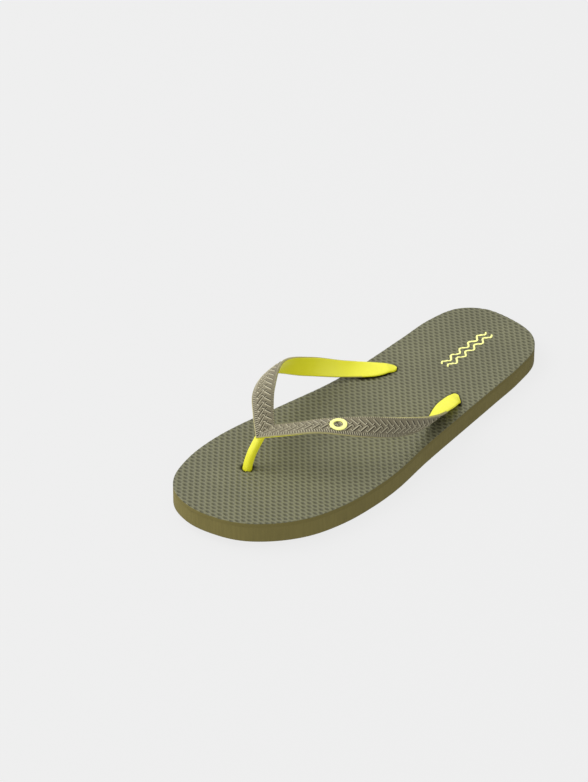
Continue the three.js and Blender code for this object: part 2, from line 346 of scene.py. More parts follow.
def outline(count=640):
    """The footbed's rounded outline as equally spaced points, anticlockwise from above."""
    inner = ROWS[1:-1]
    up = inner[:, [2, 0]]
    down = inner[::-1][:, [1, 0]]
    toe = [[(ROWS[0, 1] + ROWS[0, 2]) / 2, ROWS[0, 0]]]
    heel = [[(ROWS[-1, 1] + ROWS[-1, 2]) / 2, ROWS[-1, 0]]]
    ring = np.vstack([toe, up, heel, down])
    fine = spline(ring, np.linspace(0, 1, 6001), closed=True)
    length = np.r_[0, np.cumsum(np.hypot(*np.diff(fine, axis=0).T))]
    even = np.linspace(0, length[-1], count, endpoint=False)
    return np.stack([np.interp(even, length, fine[:, k]) for k in range(2)], -1)


OUTLINE = outline()


def outline_inset(distance):
    """The outline moved inwards."""
    ahead = np.roll(OUTLINE, -1, 0) - np.roll(OUTLINE, 1, 0)
    ahead /= np.hypot(*ahead.T)[:, None]
    inward = np.stack([-ahead[:, 1], ahead[:, 0]], -1)
    return OUTLINE + distance * inward


def underside_rows():
    """Places along the sole and the height of its underside there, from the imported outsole."""
    points = points_of(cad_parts["outsole"].data)
    for hole in HOLES.values():
        off_hole = np.hypot(*(points[:, :2] - hole).T) > PLUG_HOLE_RADIUS + 0.5
        points = points[off_hole]
    levels = np.unique(points[:, 1].round(2))
    lowest = [points[np.abs(points[:, 1] - y) < 0.02][:, 2].min() for y in levels]
    return levels, np.array(lowest)


UNDER_Y, UNDER_LOW = underside_rows()


def sole_underside(y):
    return np.interp(y, UNDER_Y, UNDER_LOW)


def wall(name, top_at, bottom_at, round_top, round_bottom):
    """The sole's outline as an upright solid, a little wider below.

    Its edges are rounded at the heights of the top and the bottom, and it stands past both.
    """
    y = OUTLINE[:, 1]
    low_levels = [(round_bottom, 1, bottom_at(y) - TRIM_OVERHANG)]
    high_levels = [(round_top, 1, top_at(y) + TRIM_OVERHANG)]
    for angle in (90, 60, 30, 0):
        turn = math.radians(angle)
        inset = 1 - math.cos(turn)
        drop = EDGE_ROUND * (1 - math.sin(turn))
        low_levels.append((round_bottom, inset, bottom_at(y) + drop))
        high_levels.append((round_top, inset, top_at(y) - drop))
    levels = low_levels + high_levels[::-1]
    middle = np.interp(y, ROWS[:, 0], (ROWS[:, 1] + ROWS[:, 2]) / 2)
    rings = []
    for is_round, inset, z in levels:
        ring = outline_inset(EDGE_ROUND * inset if is_round else 0)
        depth = (sole_top(y) - z) / (sole_top(y) - sole_underside(y))
        x = middle + (ring[:, 0] - middle) * (1 + WALL_FLARE * np.clip(depth, 0, 1))
        rings.append(np.stack([x, ring[:, 1], z], -1))
    return tube(name, rings[::-1])


def height_slab(name, columns, rows, turn, height_at, other_at, facing):
    """A slab whose one face is a fine height field over turned rows, and whose other face is plain.

    Facing 1 puts the fine face on top, and -1 underneath.
    """
    across, along = np.meshgrid(columns, rows)
    c, s = math.cos(turn), math.sin(turn)
    x = FOOTBED_MIDDLE[0] + c * across - s * along
    y = FOOTBED_MIDDLE[1] + s * across + c * along
    fine = np.stack([x, y, height_at(x, y)], -1)
    ends = fine[:, [0, -1]].copy()
    ends[..., 2] = other_at(ends[..., 1])
    n, m = fine.shape[:2]
    points = np.vstack([fine.reshape(-1, 3), ends.reshape(-1, 3)])
    index = np.arange(n * m).reshape(n, m)
    low = n * m + np.arange(n * 2).reshape(n, 2)
    quads = [index[:-1, :-1], index[:-1, 1:], index[1:, 1:], index[1:, :-1]]
    faces = np.stack(quads, -1).reshape(-1, 4).tolist()
    for i in range(n - 1):
        faces.append((low[i, 0], low[i + 1, 0], low[i + 1, 1], low[i, 1]))
        faces.append((index[i, 0], index[i + 1, 0], low[i + 1, 0], low[i, 0]))
        faces.append((index[i, -1], low[i, 1], low[i + 1, 1], index[i + 1, -1]))
    faces.append((low[0, 0], low[0, 1], *index[0, ::-1]))
    faces.append((low[-1, 1], low[-1, 0], *index[-1]))
    faces = [tuple(int(k) for k in face) for face in faces]
    if facing < 0:
        faces = [face[::-1] for face in faces]
    return object_of(name, mesh_of(name, points, faces))


def hole_bar(name, radius):
    """A bar that cuts one of the sole's three holes from below the outsole to above the footbed."""
    return upright("bar_" + name, HOLES[name], [(radius, -6), (radius, 30)], 72)


def strap_hole_bars():
    """Bars for the holes that the toe post and the tails' stems go through."""
    return [
        hole_bar("post", POST_HOLE_RADIUS),
        hole_bar("medial", STEM_HOLE_RADIUS),
        hole_bar("lateral", STEM_HOLE_RADIUS),
    ]


# ---------- strap: shape ----------


def edge(branch, which):
    """The front (0) or rear (1) edge of a branch, in the frame's millimetres."""
    points = np.array([pair[which] for pair in branch], float)
    points[:, :2] += DESIGN
    return points


EDGES = {
    "medial": (edge(MEDIAL_BRANCH, 0), edge(MEDIAL_BRANCH, 1)),
    "lateral": (edge(LATERAL_BRANCH, 0), edge(LATERAL_BRANCH, 1)),
}


def ribbon_point(along, across):
    """A point of the flat ribbon. Along runs from -1 at the medial tail, through 0 at the post, to 1.

    Across runs from -1 at the front edge to 1 at the rear edge.
    """
    along, across = np.broadcast_arrays(np.asarray(along, float), np.asarray(across, float))
    share = np.abs(along)
    part = ((across + 1) / 2)[..., None]
    sides = {}
    for name, (front, rear) in EDGES.items():
        sides[name] = spline(front, share) * (1 - part) + spline(rear, share) * part
    return np.where((along < 0)[..., None], sides["medial"], sides["lateral"])


def unit(vectors):
    return vectors / np.linalg.norm(vectors, axis=-1, keepdims=True)


def ribbon_normal(along, across):
    """The ribbon's outward direction, away from the foot."""
    step = 0.01
    ahead = ribbon_point(np.minimum(1, along + step), across)
    behind = ribbon_point(np.maximum(-1, along - step), across)
    width = ribbon_point(along, np.ones_like(across)) - ribbon_point(along, -np.ones_like(across))
    return unit(np.cross(ahead - behind, width))


def strap_point(along, across, height):
    """Points at a height above the ribbon's face, crowned except where the tails lie flat."""
    along, across, height = np.broadcast_arrays(
        np.asarray(along, float), np.asarray(across, float), np.asarray(height, float)
    )
    crown = RIBBON_CROWN * (1 - across**2) * (1 - along**4)
    points = ribbon_point(along, across)
    points = points + ribbon_normal(along, across) * (crown + height)[..., None]
    points[..., 2] -= TAIL_DIP * smooth(0.93, 1.0, np.abs(along))
    return points


def strap_distance():
    """Distance in millimetres along the ribbon's middle from the post, at many shares of a branch."""
    shares = np.linspace(0, 1, 600)
    made = {}
    for sign in (-1, 1):
        line = ribbon_point(sign * shares, np.zeros(600))
        made[sign] = np.r_[0, np.cumsum(np.linalg.norm(np.diff(line, axis=0), axis=1))]
    return shares, made


SHARES, DISTANCE = strap_distance()


def distance_at(along):
    """Millimetres from the post, always positive."""
    share = np.abs(along)
    medial = np.interp(share, SHARES, DISTANCE[-1])
    lateral = np.interp(share, SHARES, DISTANCE[1])
    return np.where(along < 0, medial, lateral)


def strap_stations(end, round_share, step, end_count):
    """Places along the strap, evenly spaced in millimetres, and the share of width left at each."""
    straight = end - round_share
    runs = []
    for sign in (-1, 1):
        reach = np.interp(straight, SHARES, DISTANCE[sign])
        count = int(round(reach / step))
        even = np.linspace(0, reach, count + 1)
        shares = np.interp(even, DISTANCE[sign], SHARES)
        turns = np.linspace(0, math.pi / 2, end_count + 1)[1:]
        places = np.r_[shares, straight + round_share * np.sin(turns)]
        widths = np.r_[np.ones(count + 1), np.cos(turns)]
        widths[-1] = 0.02
        runs.append((sign * places, widths))
    along = np.r_[runs[0][0][:0:-1], runs[1][0]]
    width = np.r_[runs[0][1][:0:-1], runs[1][1]]
    return along, width


def rounded_edge(place, start):
    """Share of an edge's rounding at a place across: 0 on the flat, 1 at the very edge."""
    off = np.clip((np.abs(place) - start) / (1 - start), 0, 1)
    return 1 - np.sqrt(1 - off**2)


def across_places(count, power=0.75):
    """Places from -1 to 1, closer together towards the edges."""
    even = np.linspace(-1, 1, count)
    return np.sign(even) * (1 - (1 - np.abs(even)) ** (1 / power))


def layer(name, along, width, reach, places, outer_at, inner_at, inner_places):
    """A strap layer as a closed tube.

    The height functions take grids of places along and across, and the share of width left at each.
    """
    width_left = width[:, None]

    def grid(row, height_at):
        spot = TIP_BIAS + (reach * row[None, :] - TIP_BIAS) * width_left
        along_grid = np.broadcast_to(along[:, None], spot.shape)
        height = height_at(along_grid, np.broadcast_to(row[None, :], spot.shape), width_left)
        return strap_point(along_grid, spot, height)

    outer = grid(places, outer_at)
    inner = grid(inner_places[::-1], inner_at)
    return tube(name, np.concatenate([outer, inner], 1))


# ---------- footbed ----------


def dimple_share(x, y):
    """How deep in a dimple a place of the footbed is: 0 on the net between them, 1 on a dimple's floor."""
    c, s = math.cos(DIMPLE_TURN), math.sin(DIMPLE_TURN)
    dx = x - FOOTBED_MIDDLE[0]
    dy = y - FOOTBED_MIDDLE[1]
    across = c * dx + s * dy
    along = -s * dx + c * dy
    row = np.round(along / DIMPLE_ROW)
    deepest = np.zeros_like(across)
    for step in (-1, 0, 1):
        this_row = row + step
        shift = np.mod(this_row, 2) * DIMPLE_ACROSS / 2
        u = np.mod(across - shift + DIMPLE_ACROSS / 2, DIMPLE_ACROSS) - DIMPLE_ACROSS / 2
        v = along - this_row * DIMPLE_ROW
        off = (np.abs(u) / DIMPLE_HALF[0]) ** DIMPLE_POWER
        off += (np.abs(v) / DIMPLE_HALF[1]) ** DIMPLE_POWER
        deepest = np.maximum(deepest, np.clip(1 - off, 0, 1))
    return smooth(0, DIMPLE_FLOOR, deepest)


def tail_prints():
    """Points of the underside of both tails, where they press into the footbed."""
    marks = []
    for sign in (-1, 1):
        along, across = np.meshgrid(sign * np.linspace(TAIL_CONTACT, 1, 90), np.linspace(-1, 1, 25))
        off_end = np.clip((np.abs(along) - 1 + TAIL_ROUND) / TAIL_ROUND, 0, 1)
        width = np.sqrt(1 - off_end**2)
        spot = TIP_BIAS + (across - TIP_BIAS) * width
        face = strap_point(along, spot, np.zeros_like(spot))
        back = strap_point(along, spot, np.full_like(spot, -BASE_MIDDLE))
        lowest = np.minimum(face[..., 2], back[..., 2])
        marks.append(np.stack([face[..., 0], face[..., 1], lowest], -1).reshape(-1, 3))
    return np.vstack(marks)


TAIL_PRINTS = tail_prints()


def pressed(x, y, z):
    """Lowers the footbed under the tails and round the post, and gives the share of painted shadow at each
    place, highest next to them.
    """
    shape = z.shape
    x, y, z = x.ravel(), y.ravel(), z.ravel().copy()
    painted_shadow_share = np.zeros(z.shape)
    for tail in np.array_split(TAIL_PRINTS, 2):
        low, high = tail.min(0) - 4, tail.max(0) + 4
        near = np.flatnonzero((x > low[0]) & (x < high[0]) & (y > low[1]) & (y < high[1]))
        for some in np.array_split(near, max(1, len(near) // 400)):
            apart = np.hypot(x[some, None] - tail[None, :, 0], y[some, None] - tail[None, :, 1])
            free = tail[None, :, 2] - TAIL_SINK + 1.6 * np.maximum(0, apart - 0.25) ** 1.3
            z[some] = np.minimum(z[some], free.min(1))
            above = np.maximum(0, tail[None, :, 2] - sole_top(y[some])[:, None] - 0.8)
            painted_shadow_share[some] = bell(np.hypot(apart, 1.5 * above).min(1), CREASE_SHADOW_REACH)
    post = HOLES["post"]
    off = np.hypot(x - post[0], y - post[1]) - POST_HOLE_RADIUS
    z -= POST_DENT * np.clip(1 - off / POST_DENT_REACH, 0, 1) ** 2
    painted_shadow_share = np.maximum(painted_shadow_share, bell(np.maximum(0, off), CREASE_SHADOW_REACH))
    return z.reshape(shape), painted_shadow_share.reshape(shape)


def footbed_height(x, y):
    plain = sole_top(y) - DIMPLE_DEPTH * dimple_share(x, y)
    return pressed(x, y, plain)[0]


def footbed_piece():
    columns = np.arange(-SLAB_HALF_WIDTH, SLAB_HALF_WIDTH, DIMPLE_ACROSS / DIMPLE_STEPS_ACROSS)
    rows = np.arange(-SLAB_HALF_LENGTH, SLAB_HALF_LENGTH, DIMPLE_ROW / DIMPLE_STEPS_ROW)
    body = height_slab(
        "footbed_dimpled",
        columns,
        rows,
        DIMPLE_TURN,
        footbed_height,
        lambda y: sole_top(y) - FOOTBED_THICKNESS,
        1,
    )
    rim = wall("trim", sole_top, lambda y: sole_top(y) - FOOTBED_THICKNESS, True, False)
    combine(body, "INTERSECT", [rim])
    combine(body, "DIFFERENCE", strap_hole_bars())
    x, y, z = points_of(body.data).T
    on_top = smooth(0.25, 0.65, facing_up(body.data))
    # The relief also sets where the material paints shade in the dimples.
    attribute(body.data, "relief", 1 - dimple_share(x, y) * on_top)
    attribute(body.data, "top", on_top)
    # The share of painted shadow in the creases round the tails and the toe post.
    attribute(body.data, "contact", pressed(x, y, z)[1] * on_top)
    return body


# ---------- midsole and outsole ----------


def midsole_piece():
    columns = np.linspace(-SLAB_HALF_WIDTH, SLAB_HALF_WIDTH, 9)
    rows = np.linspace(-SLAB_HALF_LENGTH, SLAB_HALF_LENGTH, 121)
    body = height_slab(
        "midsole_foam",
        columns,
        rows,
        0,
        lambda x, y: sole_top(y) - FOOTBED_THICKNESS,
        lambda y: sole_underside(y) + OUTSOLE_THICKNESS,
        1,
    )
    rim = wall("trim", sole_top, sole_underside, True, True)
    combine(body, "INTERSECT", [rim])
    combine(body, "DIFFERENCE", strap_hole_bars())
    return body


def edge_distance(x, y):
    """Rough distance in millimetres from the sole's outline, positive inside."""
    ring = OUTLINE[::4]
    flat_x, flat_y = x.ravel(), y.ravel()
    best = np.full(flat_x.shape, 1e9)
    for px, py in ring:
        best = np.minimum(best, np.hypot(flat_x - px, flat_y - py))
    medial = np.interp(flat_y, ROWS[:, 0], ROWS[:, 1])
    lateral = np.interp(flat_y, ROWS[:, 0], ROWS[:, 2])
    inside = (flat_x > medial) & (flat_x < lateral)
    return np.where(inside, best, -best).reshape(x.shape)


def tread_depth(x, y):
    """Depth of the outsole's wavy grooves, which leave a plain border and plain rings round the plugs."""
    wave = y + TREAD_WAVE_HEIGHT * np.sin(2 * math.pi * x / TREAD_WAVE_LENGTH)
    groove = np.abs(np.mod(wave, TREAD_PITCH) - TREAD_PITCH / 2)
    depth = TREAD_DEPTH * smooth(*TREAD_GROOVE, groove)
    depth = depth * smooth(*TREAD_BORDER, edge_distance(x, y))
    for hole in HOLES.values():
        off = np.hypot(x - hole[0], y - hole[1])
        depth = depth * smooth(PLUG_HOLE_RADIUS + TREAD_RING[0], PLUG_HOLE_RADIUS + TREAD_RING[1], off)
    return depth


def outsole_piece():
    columns = np.arange(-SLAB_HALF_WIDTH, SLAB_HALF_WIDTH, 0.9)
    rows = np.arange(-SLAB_HALF_LENGTH, SLAB_HALF_LENGTH, 0.55)
    body = height_slab(
        "outsole_tread",
        columns,
        rows,
        0,
        lambda x, y: sole_underside(y) + tread_depth(x, y),
        lambda y: sole_underside(y) + OUTSOLE_THICKNESS,
        -1,
    )
    rim = wall("trim", sole_top, sole_underside, True, True)
    combine(body, "INTERSECT", [rim])
    combine(body, "DIFFERENCE", [hole_bar(name, PLUG_HOLE_RADIUS) for name in HOLES])
    return body


# ---------- strap pieces ----------


# Each layer's two faces are heights above the ribbon, all with the same three inputs for layer().


def base_outer(along, place, width_left):
    return -BASE_EDGE / 2 * rounded_edge(place, EDGE_START)


def base_inner(along, place, width_left):
    thick = BASE_EDGE + (BASE_MIDDLE - BASE_EDGE) * np.sqrt(np.clip(1 - place**2, 0, 1))
    return -thick + BASE_EDGE / 2 * rounded_edge(place, EDGE_START)


def post_section(count=32):
    """The toe post's rounded square section as points round its middle."""
    turns = np.arange(count) * 2 * math.pi / count
    c, s = np.cos(turns), np.sin(turns)
    x = np.sign(c) * np.abs(c) ** POST_CORNER
    y = np.sign(s) * np.abs(s) ** POST_CORNER
    return np.stack([x, y], -1) * POST_WIDTH / 2


def post_piece():
    """The toe post from its plug up to the strap."""
    hole = HOLES["post"]
    foot = float(sole_underside(hole[1])) + PLUG_INSET + PLUG_THICKNESS / 2
    top = float(sole_top(hole[1]))
    stops = [
        (hole[0], hole[1], foot),
        (hole[0], hole[1], foot + 6),
        (hole[0], hole[1] + 0.1, top),
        (DESIGN[0] + POST_MIDDLE[0], DESIGN[1] + POST_MIDDLE[1], POST_MIDDLE[2]),
        (DESIGN[0] + POST_TOP[0], DESIGN[1] + POST_TOP[1], POST_TOP[2]),
    ]
    line = spline(stops, np.linspace(0, 1, 70))
    tangent = unit(np.gradient(line, axis=0))
    side = np.broadcast_to(np.array([1.0, 0, 0]), tangent.shape)
    back = unit(np.cross(tangent, side))
    side = unit(np.cross(back, tangent))
    section = post_section()
    rings = []
    for middle, to_side, to_back in zip(line, side, back):
        rings.append(middle + section[:, :1] * to_side + section[:, 1:] * to_back)
    return tube("post", rings)


def plug_piece(name, stem_top):
    """A mushroom plug in its recess, with a stem that ends in a blunt tip."""
    hole = HOLES[name]
    low = float(sole_underside(hole[1])) + PLUG_INSET
    edge_radius = PLUG_THICKNESS / 2
    profile = [(1.2, low + 0.35), (1.8, low)]
    for angle in range(-90, 91, 15):
        turn = math.radians(angle)
        radius = PLUG_RADIUS - edge_radius + edge_radius * math.cos(turn)
        profile.append((radius, low + edge_radius + edge_radius * math.sin(turn)))
    profile.append((STEM_RADIUS + 0.6, low + PLUG_THICKNESS))
    profile.append((STEM_RADIUS, low + PLUG_THICKNESS + 0.6))
    profile.append((STEM_RADIUS, stem_top - 1.2))
    profile.append((STEM_RADIUS * 0.75, stem_top - 0.4))
    profile.append((STEM_RADIUS * 0.3, stem_top))
    return upright("plug_" + name, hole, profile)


def strap_base_piece():
    along, width = strap_stations(1.0, TAIL_ROUND, 0.75, 18)
    places = across_places(25)
    body = layer(
        "strap_yellow_base",
        along,
        width,
        BASE_REACH,
        places,
        base_outer,
        base_inner,
        places[1:-1],
    )
    post_stem_top = float(sole_underside(HOLES["post"][1])) + OUTSOLE_THICKNESS + 2
    parts = [post_piece(), plug_piece("post", post_stem_top)]
    for name in ("medial", "lateral"):
        parts.append(plug_piece(name, float(sole_top(HOLES[name][1])) + 0.2))
    return combine(body, "UNION", parts)


def line_distance(x, y, line):
    """Distance in the plane from places to a line of straight parts."""
    nearest = np.full(x.shape, np.inf)
    for (ax, ay), (bx, by) in zip(line, line[1:]):
        run, rise = bx - ax, by - ay
        share = ((x - ax) * run + (y - ay) * rise) / (run**2 + rise**2)
        share = np.clip(share, 0, 1)
        nearest = np.minimum(nearest, np.hypot(x - ax - share * run, y - ay - share * rise))
    return nearest


def strands(along, across, line):
    """Distance to the nearest of a column of equal strands, one per pitch along the strap."""
    start = np.mod(along, BRAID_PITCH)
    copies = [line_distance(start + k * BRAID_PITCH, across, line) for k in (-1, 0, 1)]
    return np.min(copies, 0)


def braid(along, place):
    """Height of the moulded braid from 0 in the grooves to 1 on the lines of the strands."""
    distance = distance_at(along)
    off = (place - BRAID_SEAM) * BRAID_SCALE
    line = np.zeros_like(off)
    groove = np.zeros_like(off)
    for strand in (REAR_STRAND, FRONT_STRAND):
        line = np.maximum(line, bell(strands(distance, off, strand), STRAND_WIDTH))
        beside = strands(distance - GROOVE_SHIFT, off, strand)
        groove = np.maximum(groove, bell(beside, STRAND_WIDTH))
    return np.clip(0.55 + 0.45 * line - 0.6 * groove * (1 - line), 0, 1)


def cover_relief(along, place):
    """Share of the full relief at each place of the cover: the braid, and beads along both borders."""
    bead = 0.5 + 0.5 * np.cos(2 * math.pi * (distance_at(along) + 3 * place) / TICK_PITCH)
    height = np.full(place.shape, 0.6)
    for low, high in (TICKS_FRONT, TICKS_REAR):
        inside = smooth(low - 0.02, low + 0.05, place) * smooth(high + 0.02, high - 0.05, place)
        height += inside * (0.9 * bead - 0.5)
    in_band = smooth(BAND_FRONT - 0.03, BAND_FRONT, place) * smooth(BAND_REAR + 0.03, BAND_REAR, place)
    height = height * (1 - in_band) + in_band * braid(along, place)
    # The relief, and with it the painted shade and highlight, is shallower next to the toe post, on the outer
    # branch.
    shallow = 0.4 * smooth(45, 15, distance_at(along)) * (along > 0)
    return np.clip(height + (0.6 - height) * shallow, 0, 1)


def cover_outer(along, place, width_left):
    """The olive layer's outer face. Its relief fades out at the edges and in the rounded ends."""
    thick = COVER_EDGE + (COVER_MIDDLE - COVER_EDGE) * np.sqrt(np.clip(1 - place**2, 0, 1))
    relief = BRAID_DEPTH * (cover_relief(along, place) - 1) * smooth(0.15, 0.6, width_left)
    height = COVER_GAP + thick + relief * smooth(0, 0.08, 1 - np.abs(place))
    return height - (thick + 0.25) * rounded_edge(place, EDGE_START)


def cover_inner(along, place, width_left):
    """The olive layer's inner face. Away from the toe post it wraps further round the yellow layer."""
    return -0.3 - 0.5 * smooth(12, 32, distance_at(along)) * smooth(0.2, 0.8, width_left)


def strap_cover_piece():
    along, width = strap_stations(COVER_END, COVER_ROUND, 0.205, 40)
    places = across_places(62, 0.93)
    body = layer(
        "strap_braided_cover",
        along,
        width,
        COVER_REACH,
        places,
        cover_outer,
        cover_inner,
        np.array([-0.99, 0.99]),
    )
    # Each ring of the tube holds the outer face's places and then the inner face's two.
    along_grid, place_grid = np.meshgrid(along, places, indexing="ij")
    inner_shape = (len(along), 2)
    relief = np.concatenate([cover_relief(along_grid, place_grid), np.zeros(inner_shape)], 1)
    rim = np.concatenate([np.abs(place_grid), np.ones(inner_shape)], 1)
    # The relief also sets where the olive material paints shade in the grooves and highlights on the strands.
    attribute(body.data, "relief", relief.ravel())
    attribute(body.data, "rim", rim.ravel())
    return body


def badge_piece():
    """An oval ring with a rounded top that follows the strap."""
    count, section = 96, 20
    turns = np.arange(count) * 2 * math.pi / count
    low = COVER_GAP + COVER_MIDDLE - BADGE_SUNK
    middle = (1 + BADGE_HOLE) / 2
    reach = (1 - BADGE_HOLE) / 2
    rings = []
    for k in range(section):
        turn = 2 * math.pi * k / section
        c, s = math.cos(turn), math.sin(turn)
        size = middle + reach * math.copysign(abs(c) ** BADGE_CORNER, c)
        rise = 1 + math.copysign(abs(s) ** BADGE_CORNER, s)
        height = low + BADGE_HALF_HEIGHT * rise
        along = BADGE_PLACE + BADGE_HALF_LENGTH * size * np.cos(turns)
        across = BADGE_HALF_WIDTH * size * np.sin(turns)
        rings.append(strap_point(along, across, np.full(count, height)))
    return tube("strap_ring_badge", np.stack(rings, 1), closed=True)


def print_piece(name, offset):
    """One raised wavy line of the heel print, laid over the dimples."""
    along = np.linspace(-PRINT_LENGTH / 2, PRINT_LENGTH / 2, 420)
    turn = 2 * math.pi * PRINT_WAVES * along / PRINT_LENGTH
    slope = 2 * math.pi * PRINT_WAVES / PRINT_LENGTH * PRINT_AMPLITUDE * np.cos(turn)
    side = unit(np.stack([np.ones_like(slope), -slope], -1))
    middle = np.stack([offset + PRINT_AMPLITUDE * np.sin(turn), along], -1)
    into_end = ((np.abs(along) - PRINT_LENGTH / 2 + PRINT_END) / PRINT_END).clip(0, 0.98)
    width_left = np.sqrt(1 - into_end**2)
    across = np.linspace(-1, 1, 9)
    off_middle = across[None, :] * width_left[:, None] * PRINT_LINE / 2
    flat = middle[:, None] + side[:, None] * off_middle[..., None]
    c, s = math.cos(PRINT_ANGLE), math.sin(PRINT_ANGLE)
    x = DESIGN[0] + PRINT_CENTRE[0] + c * flat[..., 0] - s * flat[..., 1]
    y = DESIGN[1] + PRINT_CENTRE[1] + s * flat[..., 0] + c * flat[..., 1]
    ground = sole_top(y) - 0.6 * DIMPLE_DEPTH * dimple_share(x, y)
    top = ground + PRINT_RAISE * (1 - across[None, :] ** 6) + 0.04
    upper = np.stack([x, y, top], -1)
    lower = np.stack([x, y, sole_top(y) - DIMPLE_DEPTH - 0.05], -1)[:, ::-1]
    return tube(name, np.concatenate([upper, lower], 1)[:, ::-1])


# ---------- materials ----------


class Look:
    """A node material in the making."""

    def __init__(self, name):
        self.material = bpy.data.materials.new(name)
        self.material.use_nodes = True
        self.tree = self.material.node_tree
        self.surface = self.tree.nodes["Principled BSDF"]
        self.place = self.add("ShaderNodeTexCoord").outputs["Object"]

    def add(self, kind, settings=None, **inputs):
        """A node with the given settings, and inputs that are values or other nodes' outputs."""
        node = self.tree.nodes.new(kind)
        for key, value in (settings or {}).items():
            setattr(node, key, value)
        for key, value in inputs.items():
            self.put(node.inputs[key.replace("_", " ")], value)
        return node

    def put(self, socket, value):
        if isinstance(value, bpy.types.NodeSocket):
            self.tree.links.new(value, socket)
        elif socket.type == "VECTOR" and len(value) > 3:
            socket.default_value = value[:3]
        else:
            socket.default_value = value

    def set(self, name, value):
        self.put(self.surface.inputs[name], value)

    def noise(self, scale, detail=3.0, stretch=(1, 1, 1)):
        """Noise from 0 to 1 whose features are about 1/scale metres, drawn out along an axis if asked."""
        mapped = self.add("ShaderNodeMapping", Vector=self.place)
        mapped.inputs["Scale"].default_value = stretch
        made = self.add("ShaderNodeTexNoise", Vector=mapped.outputs[0], Scale=scale, Detail=detail)
        return made.outputs["Fac"]

    def between(self, value, low, high, start=0.0, end=1.0):
        """The value's range start..end turned into low..high."""
        made = self.add("ShaderNodeMapRange")
        for socket, number in zip(made.inputs[:5], (value, start, end, low, high)):
            self.put(socket, number)
        return made.outputs[0]

    def uneven(self, scale, detail, low, high, stretch=(1, 1, 1)):
        """A factor that drifts between low and high from place to place."""
        return self.between(self.noise(scale, detail, stretch), low, high, 0.3, 0.7)

    def value_of(self, name):
        """The number kept per vertex by attribute()."""
        made = self.add("ShaderNodeAttribute", {"attribute_name": name})
        return made.outputs["Fac"]

    def mix(self, share, first, second):
        """The first colour where the share is 0, and the second where it is 1."""
        made = self.add("ShaderNodeMix", {"data_type": "RGBA"})
        self.put(made.inputs[0], share)
        self.put(made.inputs[6], first)
        self.put(made.inputs[7], second)
        return made.outputs[2]

    def shade(self, color, factor):
        """The colour times a number."""
        made = self.add("ShaderNodeVectorMath", {"operation": "SCALE"})
        self.put(made.inputs[0], color)
        self.put(made.inputs["Scale"], factor)
        return made.outputs[0]

    def product(self, first, second):
        made = self.add("ShaderNodeMath", {"operation": "MULTIPLY"})
        self.put(made.inputs[0], first)
        self.put(made.inputs[1], second)
        return made.outputs[0]

    def bump(self, height, distance, before=None):
        """Adds fine relief of the given depth in metres."""
        made = self.add("ShaderNodeBump", Height=height, Distance=distance, Strength=1.0)
        if before is not None:
            self.put(made.inputs["Normal"], before)
        return made.outputs[0]


def rgb(red, green, blue):
    """A linear colour from screen values."""
    parts = []
    for part in (red, green, blue):
        share = part / 255
        parts.append(share / 12.92 if share <= 0.04045 else ((share + 0.055) / 1.055) ** 2.4)
    return (*parts, 1.0)


def footbed_look():
    """Grey olive on top, with painted shade in the dimples and a painted near-black shadow in the creases,
    with the sole's side.
    """
    look = Look("footbed_rubber")
    relief = look.value_of("relief")
    net = rgb(112, 111, 84)
    painted_dimple_shade = rgb(77, 76, 54)
    painted_crease_shadow = rgb(14, 13, 10)
    side = rgb(112, 103, 56)
    # Painted shade: the dimples are coloured darker than the net between them.
    color = look.mix(look.between(relief, 0, 1, 0.15, 0.95), painted_dimple_shade, net)
    cloudy = look.uneven(38, 2, 0.93, 1.07)
    specks = look.uneven(1900, 2, 0.93, 1.07)
    color = look.shade(color, look.product(cloudy, specks))
    # Painted shadow: the footbed is coloured nearly black in the creases round the tails and the toe post,
    # where the strap shades it.
    contact = look.value_of("contact")
    color = look.mix(look.between(contact, 0, 0.95), color, painted_crease_shadow)
    top = look.value_of("top")
    color = look.mix(top, side, color)
    look.set("Base Color", color)
    grazed = look.between(look.noise(700, 3), 0.42, 0.58)
    look.set("Roughness", look.product(grazed, look.between(top, 1.5, 1)))
    # The painted shadow also loses its gloss, so that it stays dark.
    open_gloss = look.between(contact, 0.45, 0.02)
    look.set("Specular IOR Level", look.product(open_gloss, look.between(top, 0.5, 1)))
    grain = look.bump(look.noise(2600, 2), 0.00009)
    look.set("Normal", grain)
    return look.material


def sole_look():
    """Olive brown foam with faint upright streaks from the cutting die."""
    look = Look("sole_rubber")
    cloudy = look.uneven(30, 2, 0.95, 1.05)
    streaks = look.uneven(900, 3, 0.93, 1.07, (1, 1, 0.08))
    color = look.shade(rgb(116, 107, 59), look.product(cloudy, streaks))
    look.set("Base Color", color)
    look.set("Roughness", look.between(look.noise(900, 3), 0.68, 0.85))
    look.set("Specular IOR Level", 0.25)
    pores = look.bump(look.noise(3200, 2), 0.00008)
    look.set("Normal", look.bump(look.noise(1100, 2, (1, 1, 0.1)), 0.00008, pores))
    return look.material


def yellow_look():
    """Satin yellow with a painted glow."""
    look = Look("yellow_pvc")
    cloudy = look.uneven(60, 2, 0.97, 1.03)
    look.set("Base Color", look.shade(rgb(205, 202, 50), cloudy))
    # The emission is painted light: a glow of its own that brightens the strap's shaded faces, standing in
    # for the light that reaches them.
    look.set("Emission Color", rgb(250, 248, 0))
    look.set("Emission Strength", 0.23)
    look.set("Roughness", look.between(look.noise(300, 3), 0.34, 0.46))
    look.set("Specular IOR Level", 0.75)
    look.set("Subsurface Weight", 0.2)
    look.set("Subsurface Radius", (1.0, 0.9, 0.2))
    look.set("Subsurface Scale", 0.0015)
    look.set("Normal", look.bump(look.noise(1500, 2), 0.00005))
    return look.material


